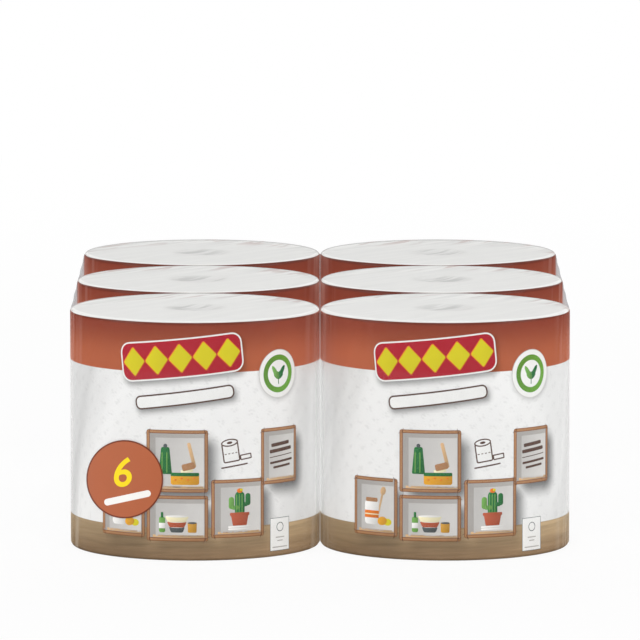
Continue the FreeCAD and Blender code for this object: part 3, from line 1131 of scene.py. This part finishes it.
def draw_note(sheet):
    """A small drawing of a towel roll with a line under it."""
    x, z = NOTE
    tilt = 8
    sheet.box(along((x, z), 0, tilt, -2), (17, 19), "ink_brown", corner=2, turn=tilt)
    sheet.inside(1.3, "white")
    sheet.disc(along((x, z), 0, tilt, 7.5), (17, 7.4), "ink_brown", level=2, turn=tilt)
    sheet.inside(1.2, "white")
    sheet.disc(along((x, z), 0, tilt, 7.5), (5.5, 2.4), "ink_brown", level=3, turn=tilt)
    for number in range(4):
        place = along((x, z), -5.4 + 3.6 * number, tilt, -3)
        sheet.box(place, (2.0, 0.8), "ink_brown", level=2, turn=tilt)
    sheet.box(along((x, z), 14.5, tilt, -8.6), (12, 5.4), "ink_brown", corner=1, turn=tilt)
    sheet.inside(1.2, "white")
    sheet.box(along((x, z), 2, tilt, -15.5), (27, 1.4), "ink_brown", corner=0.5, turn=tilt)


def draw_label(sheet):
    """A bare white label with a thin outline and three grey bars."""
    x, z, width, height = LABEL
    sheet.box((x, z), (width, height), "slate", level=1, corner=0.8)
    sheet.inside(0.5, "white")
    sheet.disc((x, z + 7), (9, 9), "slate", level=2)
    sheet.inside(0.7, "white")
    for drop, bar in ((3.0, 11), (6.2, 7), (12.4, 19)):
        sheet.box((x, z - drop), (bar, 1.0), "wall_grey", level=2)


class TOWEL_OT_prints(bpy.types.Operator):
    """Draw the print flat and roll it on to the front and back of each wrap"""

    bl_idname = "towel_pack.prints"
    bl_label = "Print"

    def execute(self, context):
        settings = context.scene.towel_print
        sheet = self.draw(settings)
        flat = points_of(sheet.data)
        for roll, (row, column, axis) in enumerate(ROLLS):
            faces = []
            for facing in (0.0, math.pi):
                face = own_copy(sheet, f"print_{row}_{column}")
                self.roll_on(face, flat, axis, facing, roll)
                faces.append(face)
            piece = faces[0]
            join(piece, faces[1])
            bpy.ops.object.shade_smooth()
            unroll(piece, axis, roll)
            ride(piece, "printed_film")
        bpy.data.objects.remove(sheet)
        return {"FINISHED"}

    def draw(self, settings):
        """All of the artwork of one face, on one flat sheet."""
        sheet = PrintSheet("print_sheet")
        for name, (colour, shading) in INKS.items():
            colour = colour or getattr(settings, name)
            sheet.piece.data.materials.append(ink_finish(name, colour, shading))
        tilt = math.degrees(settings.tilt)
        draw_plate(sheet, tilt)
        draw_bar(sheet, tilt)
        draw_badge(sheet)
        motifs = (draw_jar, draw_bowls, draw_cactus, draw_sponge, draw_bars)
        for place, motif in zip(FRAMES, motifs):
            draw_frame(sheet, place, settings.frame_rail / MM)
            sheet.origin, sheet.scale = place[:2], min(place[2:]) / 46
            motif(sheet)
            sheet.origin, sheet.scale = (0.0, 0.0), 1.0
        draw_note(sheet)
        draw_label(sheet)
        return sheet.finish()

    def roll_on(self, piece, flat, axis, facing, roll):
        """Bend the flat sheet round a roll, on top of that roll's own folds."""
        angle = flat[:, 0] / ROLL_RADIUS + facing
        turned = np.where(angle > math.radians(LAP_START), angle - 2 * math.pi, angle)
        radius = ROLL_RADIUS - flat[:, 1] - side_relief(turned, flat[:, 2], roll)
        x, y = radius * np.sin(angle), -radius * np.cos(angle)
        set_points(piece.data, np.stack([x, y, flat[:, 2]], axis=1) + np.array(axis))


# ---- clear sleeves


def film_tint(finish, wrap):
    """The print's colours painted on clear film lying on it and seen along itself, as painted
    light that stands in for the print seen through the film.
    """
    height = finish.height()
    edge = 0.8 * MM
    dark = finish.step(height, wrap.upper_band + 9 * MM, wrap.print_top)
    upper = finish.blend(dark, srgb(204, 142, 124), srgb(150, 90, 80))
    over = finish.step(height, wrap.upper_band - edge, wrap.upper_band + edge)
    upper = finish.blend(over, srgb(232, 232, 232), upper)
    over = finish.step(height, wrap.lower_band - edge, wrap.lower_band + edge)
    return finish.blend(over, srgb(178, 158, 132), upper)


def clear_film_finish(wrap, sleeve):
    """Clear film: nothing to see where it lies on a roll, milky and creased where it is free."""
    finish = Finish("clear_film")
    place = finish.place()
    crinkle = finish.noise(place, (0.05, 0.05, 0.30), detail=3.0, distortion=0.8)
    creases = finish.step(crinkle, 0.42, 0.66)
    along_film = finish.facing()
    free = finish.value("free")
    span = finish.step(free, 0.0, 0.3)
    inner = finish.value("inner")
    outside = span * (1 - inner)
    milk = sleeve.haze * free * (0.65 + 0.9 * creases)
    veil = 0.98 * along_film**10.0 * (1 - span) + 0.48 * along_film**3.0 * span
    veil = veil + 0.55 * along_film**4.0 * finish.step(inner, 0.9, 1.0) * (1 - span)
    normal = finish.bump(0.8 * crinkle)
    # Painted colours of the print on the film over the rolls and between the columns; milky grey
    # on the outer spans.
    colour = finish.blend(outside, film_tint(finish, wrap), sleeve.grey)
    film = finish.principled(colour, 0.5, normal, 0.0, {"Alpha": 0.01 + milk + veil})
    sheen = finish.node(
        "ShaderNodeBsdfGlossy",
        inputs={"Color": (1, 1, 1), "Roughness": 0.14 + 0.16 * crinkle, "Normal": normal},
    )
    gloss = outside * (1 - along_film) * (0.02 + 0.05 * creases)
    return finish.end(finish.mixed(gloss, film, sheen))


class TOWEL_OT_sleeves(bpy.types.Operator):
    """Wrap each column of three rolls in its clear film sleeve"""

    bl_idname = "towel_pack.sleeves"
    bl_label = "Clear Sleeves"

    def execute(self, context):
        settings = context.scene.towel_sleeve
        first = self.model(settings)
        first.data.materials.append(clear_film_finish(context.scene.towel_wrap, settings))
        for column in COLUMNS:
            piece = own_copy(first, f"sleeve_{column}")
            axis = axis_of("middle", column)
            inner = -math.copysign(1, axis.x) * points_of(piece.data)[:, 0] / SLEEVE_RADIUS
            keep(piece.data, "inner", np.clip(1.2 * inner, 0, 1))
            piece.data.transform(Matrix.Translation(axis))
            shade_smooth(piece)
            ride(piece, "clear_film", f"column_sleeve_{column}")
        bpy.data.objects.remove(first)
        return {"FINISHED"}

    def model(self, settings):
        """A tube cut in two, drawn apart to the end rolls and joined by straight spans."""
        low, high = SLEEVE_LOW.z, SLEEVE_HIGH.z
        reach = ROLLS[-1][2].y
        piece = start(
            "sleeve_model", bpy.ops.mesh.primitive_cylinder_add,
            vertices=int(360 / COLUMN_STEP), radius=SLEEVE_RADIUS - settings.thickness,
            depth=high - low, end_fill_type="NOTHING", location=(0, 0, (low + high) / 2),
        )
        pick("FACE", lambda f: f.calc_center_median().y < 0)
        bpy.ops.mesh.split()
        bpy.ops.transform.translate(value=(0, -reach, 0))
        pick("FACE", lambda f: 0 < f.calc_center_median().y < 0.2)
        bpy.ops.transform.translate(value=(0, reach, 0))
        for side in (-1, 1):
            pick("EDGE", lambda e: self.open_upright(e, side))
            bpy.ops.mesh.edge_face_add()
        pick("EDGE", lambda e: abs(e.verts[0].co.y - e.verts[1].co.y) > reach)
        bpy.ops.mesh.subdivide(number_cuts=95)
        pick("EDGE", lambda e: edge_height(e) > 0.1)
        bpy.ops.mesh.subdivide(number_cuts=15)
        close_edit()
        points = points_of(piece.data)
        span = np.clip((reach - np.abs(points[:, 1])) / 0.06, 0, 1)
        wave = 1 + np.sin(points[:, 1] / 0.017 + 1.7 * np.sin(points[:, 2] / 0.05))
        gap = np.abs(points[:, 1]) % reach
        clear = np.clip((np.minimum(gap, reach - gap) - 0.012) / 0.05, 0, 1)
        points[:, 0] -= np.sign(points[:, 0]) * 0.24 * MM * span * wave * clear
        set_points(piece.data, points)
        thicken(piece, settings.thickness, 1)
        along_column = points_of(piece.data)[:, 1]
        to_roll = np.abs(along_column - reach * np.round(along_column / reach))
        free = np.where(np.abs(along_column) < reach, np.clip(to_roll / 0.07, 0, 1), 0)
        keep(piece.data, "free", free)
        return piece

    def open_upright(self, edge, side):
        """An upright edge of one half of the tube, where it was cut, on one side."""
        cut_open = edge_height(edge) > 0.1 and len(edge.link_faces) == 1
        return cut_open and edge.verts[0].co.x * side > 0


# ---- sticker


def sticker_surface(name, colour):
    """Printed label paper in a colour, with a faint fibre."""
    finish = Finish(name)
    place = finish.place()
    fibre = finish.noise(place, (0.004, 0.004, 0.0012), detail=3.0)
    broad = finish.noise(place, (0.03, 0.03, 0.03), detail=1.0)
    colour = finish.shade(colour, 0.95 + 0.05 * fibre + 0.05 * broad)
    return finish.surface(colour, 0.42 + 0.1 * fibre, finish.bump(0.02 * fibre), 0.25)


class TOWEL_OT_sticker(bpy.types.Operator):
    """Stick the round label with its plain number to the front left roll"""

    bl_idname = "towel_pack.sticker"
    bl_label = "Round Sticker"

    def execute(self, context):
        settings = context.scene.towel_sticker
        axis = axis_of("front", "left")
        middle = (STICKER_LOW + STICKER_HIGH) / 2
        middle.z = settings.height
        piece = self.disc(settings, middle)
        numeral = self.numeral(settings, middle)
        bar = self.bar(middle)
        finishes = (
            sticker_surface("sticker_edge", srgb(116, 52, 30)),
            sticker_surface("sticker_orange", settings.orange),
            sticker_surface("sticker_yellow", settings.numeral_yellow),
            sticker_surface("sticker_white", srgb(250, 248, 244)),
        )
        for part in (piece, numeral, bar):
            for finish in finishes:
                part.data.materials.append(finish)
        for part, place in ((numeral, 2), (bar, 3)):
            for face in part.data.polygons:
                face.material_index = place
        join(piece, numeral, bar)
        self.bend(piece, axis, middle, settings.lean)
        bpy.ops.object.shade_smooth_by_angle(angle=math.radians(32))
        ride(piece, "sticker_label", "round_sticker")
        return {"FINISHED"}

    def disc(self, settings, middle):
        """A flat disc with a narrow edge ring, cut into strips and given its thickness."""
        piece = start(
            "sticker", bpy.ops.mesh.primitive_circle_add, vertices=120,
            radius=settings.diameter / 2, fill_type="NGON", location=(middle.x, 0, middle.z),
            rotation=(math.pi / 2, 0, 0),
        )
        bpy.ops.mesh.select_all(action="SELECT")
        bpy.ops.mesh.inset(thickness=settings.edge)
        self.strips(middle)
        close_edit()
        for face in piece.data.polygons:
            away = math.hypot(face.center.x - middle.x, face.center.z - middle.z)
            face.material_index = int(away < settings.diameter / 2 - settings.edge * 0.9)
        thicken(piece, 0.2 * MM, -1)
        return piece

    def strips(self, middle):
        for number in range(-14, 15):
            cut((middle.x + number * 2.6 * MM, 0, 0), (1, 0, 0))

    def numeral(self, settings, middle):
        """A plain number, made a mesh and laid just over the sticker."""
        bpy.ops.object.select_all(action="DESELECT")
        bpy.ops.object.text_add(rotation=(math.pi / 2, 0, 0))
        text = bpy.context.active_object
        text.name = "sticker_numeral"
        text.data.body = str(settings.numeral)
        text.data.size = 39 * MM
        text.data.offset = 0.5 * MM
        text.data.shear = 0.12
        text.data.align_x = "CENTER"
        text.data.align_y = "CENTER"
        text.location = (middle.x - 2.6 * MM, -0.03 * MM, middle.z + 5.2 * MM)
        bpy.ops.object.convert(target="MESH")
        bpy.ops.object.transform_apply(location=True, rotation=True, scale=True)
        bpy.ops.object.mode_set(mode="EDIT")
        self.strips(middle)
        close_edit()
        return text

    def bar(self, middle):
        """A bare white bar with round ends, under the number."""
        where = (middle.x + 2.9 * MM, -0.03 * MM, middle.z - 17.8 * MM)
        piece = start(
            "sticker_bar", bpy.ops.mesh.primitive_plane_add, size=1, location=where,
            rotation=(math.pi / 2, 0, 0),
        )
        bpy.ops.mesh.select_all(action="SELECT")
        bpy.ops.transform.resize(value=(46 * MM, 1, 6.4 * MM), center_override=where)
        bpy.ops.mesh.bevel(offset=3 * MM, segments=6, affect="VERTICES")
        bpy.ops.transform.rotate(value=math.radians(12), orient_axis="Y", center_override=where)
        self.strips(middle)
        close_edit()
        return piece

    def bend(self, piece, axis, middle, lean):
        """Lay the flat label back on to the sleeve, so that it looks round from a little above."""
        points = points_of(piece.data)
        across = points[:, 0] - axis.x
        depth = np.sqrt((STICKER_RADIUS - points[:, 1]) ** 2 - across**2)
        fall = math.sqrt(STICKER_RADIUS**2 - (middle.x - axis.x) ** 2) - depth
        points[:, 1] = axis.y - depth
        points[:, 2] = (points[:, 2] - middle.z) / math.cos(lean) - fall * math.tan(lean)
        points[:, 2] += middle.z
        set_points(piece.data, points)


# ---- paper and card


WOUND_TURNS = 2100.0  # radians of the tissue's turns in a metre of radius


def paper_finish():
    """Wound tissue: warm white, with the turns showing on the ends."""
    finish = Finish("wound_tissue")
    place = finish.place()
    fold = finish.node("ShaderNodeSeparateXYZ", inputs={0: place})
    x = fold.math("ABSOLUTE", fold.out("X")) - ROLLS[1][2].x
    pitch = ROLLS[-1][2].y
    y = fold.out("Y") - pitch * fold.math("ROUND", fold.out("Y") / pitch)
    radius = (x * x + y * y) ** 0.5
    turns = radius.math("SINE", radius * WOUND_TURNS)
    fuzz = finish.noise(place, (0.002, 0.002, 0.002), detail=4.0)
    colour = finish.shade(srgb(240, 239, 235), 0.95 + 0.03 * turns + 0.05 * fuzz)
    normal = finish.bump(0.12 * turns + 0.12 * fuzz)
    return finish.surface(colour, 0.85 + 0.1 * fuzz, normal, 0.2)


def card_finish():
    """Grey-brown core board with its spiral joints."""
    finish = Finish("core_board")
    place = finish.place()
    fibre = finish.noise(place, (0.0012, 0.0012, 0.004), detail=4.0)
    patch = finish.noise(place, (0.03, 0.03, 0.03))
    colour = finish.shade(srgb(158, 136, 110), 0.8 + 0.24 * fibre + 0.14 * patch)
    return finish.surface(colour, 0.8 + 0.15 * fibre, finish.bump(0.15 * fibre), 0.2)


class TOWEL_OT_paper(bpy.types.Operator):
    """Give the wound rolls and their core tubes their paper and card finishes"""

    bl_idname = "towel_pack.paper"
    bl_label = "Paper and Card"

    def execute(self, context):
        for family, finish in (("paper_roll", paper_finish()), ("core_tube", card_finish())):
            for name, node in frame["nodes"].items():
                if name.startswith(family):
                    for place in node.material_slots:
                        place.material = finish
        return {"FINISHED"}


# ---- stage

LAMP_DISTANCE = 5.0
LAMP_AIM = Vector((0, 0, 0.12))


class TOWEL_OT_stage(bpy.types.Operator):
    """Set up the pale floor, the lamps, the white surroundings and the camera"""

    bl_idname = "towel_pack.stage"
    bl_label = "Stage"

    def execute(self, context):
        settings = context.scene.towel_stage
        self.floor()
        self.world(context, settings)
        self.lamp("key", (0, 42), (4.4, 2.4), settings.key_power)
        self.lamp("back", (180, 38), (4.0, 2.4), settings.back_power)
        for side, name in ((-1, "left"), (1, "right")):
            fill = self.lamp(f"fill_{name}", (side * 66, 18), (3.2, 2.6), settings.fill_power)
            fill.data.use_shadow = False
            strip = self.lamp(f"strip_{name}", (side * 139, 12), (0.3, 3.0), settings.strip_power)
            strip.visible_diffuse = False
        self.camera(context, settings)
        context.scene.view_settings.view_transform = "Standard"
        return {"FINISHED"}

    def floor(self):
        piece = start("floor", bpy.ops.mesh.primitive_plane_add, size=60)
        bpy.ops.mesh.subdivide(number_cuts=3)
        close_edit()
        finish = Finish("pale_floor")
        place = finish.place()
        fine = finish.noise(place, (1 / 3, 1 / 3, 1 / 3), detail=4.0)
        colour = finish.shade(srgb(248, 248, 248), 0.98 + 0.02 * fine)
        plain = finish.node("ShaderNodeBsdfDiffuse", inputs={"Color": colour})
        seen = finish.node("ShaderNodeEmission", inputs={"Color": (1, 1, 1), "Strength": 1.0})
        away = finish.node("ShaderNodeVectorMath", {"operation": "LENGTH"}, {0: place})
        share = 0.9 + 0.1 * finish.step(away.out("Value"), 1.2, 3.5)
        share = share * finish.node("ShaderNodeLightPath").out("Is Camera Ray")
        piece.data.materials.append(finish.end(finish.mixed(share, plain, seen)))

    def world(self, context, settings):
        finish = Finish("studio", bpy.data.worlds.new("studio"))
        rays = finish.node("ShaderNodeLightPath")
        first = rays.math("MAXIMUM", rays.out("Is Camera Ray"), rays.out("Is Glossy Ray"))
        clear = rays.math("MAXIMUM", first, rays.out("Is Transmission Ray"))
        strength = settings.ambient + (1.0 - settings.ambient) * clear
        inputs = {"Color": (1, 1, 1), "Strength": strength}
        light = finish.node("ShaderNodeBackground", inputs=inputs)
        context.scene.world = finish.end(light, "World")

    def lamp(self, name, direction, size, power):
        """An area lamp aimed at the pack, at an angle round from the front and one up."""
        data = bpy.data.lights.new(name, "AREA")
        data.shape = "RECTANGLE"
        data.size, data.size_y = size
        data.energy = power
        lamp = bpy.data.objects.new(name, data)
        bpy.context.collection.objects.link(lamp)
        lamp.location = self.far_place(*direction)
        aim = LAMP_AIM - lamp.location
        lamp.rotation_euler = aim.to_track_quat("-Z", "Y").to_euler()
        lamp.visible_camera = False
        return lamp

    def far_place(self, around, up):
        around, up = math.radians(around), math.radians(up)
        flat = math.cos(up)
        place = (flat * math.sin(around), -flat * math.cos(around), math.sin(up))
        return LAMP_DISTANCE * Vector(place)

    def camera(self, context, settings):
        data = bpy.data.cameras.new("camera")
        data.lens = settings.lens
        data.sensor_width = 36
        data.clip_end = 200
        camera = bpy.data.objects.new("camera", data)
        context.collection.objects.link(camera)
        camera.location = (0, -settings.distance, settings.camera_height)
        camera.rotation_euler = (math.pi / 2 - settings.pitch, 0, 0)
        context.scene.camera = camera


# ---- panel and registration


OPERATORS = (
    TOWEL_OT_prints,
    TOWEL_OT_wraps,
    TOWEL_OT_sleeves,
    TOWEL_OT_sticker,
    TOWEL_OT_paper,
    TOWEL_OT_stage,
)


class TOWEL_PT_pack(bpy.types.Panel):
    """Sizes, colours and the steps that make the pack"""

    bl_idname = "TOWEL_PT_pack"
    bl_label = "Towel Pack"
    bl_space_type = "VIEW_3D"
    bl_region_type = "UI"
    bl_category = "Towel Pack"

    def draw(self, context):
        layout = self.layout
        for operator in OPERATORS:
            layout.operator(operator.bl_idname)
        for name, group in SETTINGS:
            box = layout.box()
            box.label(text=group.__doc__)
            for setting in group.__annotations__:
                box.prop(getattr(context.scene, name), setting)


def register():
    for name, group in SETTINGS:
        bpy.utils.register_class(group)
        setattr(bpy.types.Scene, name, PointerProperty(type=group))
    for operator in OPERATORS:
        bpy.utils.register_class(operator)
    bpy.utils.register_class(TOWEL_PT_pack)


def unregister():
    bpy.utils.unregister_class(TOWEL_PT_pack)
    for operator in reversed(OPERATORS):
        bpy.utils.unregister_class(operator)
    for name, group in reversed(SETTINGS):
        delattr(bpy.types.Scene, name)
        bpy.utils.unregister_class(group)


def main():
    register()
    for operator in OPERATORS:
        family, name = operator.bl_idname.split(".")
        getattr(getattr(bpy.ops, family), name)()


if __name__ == "__main__":
    main()
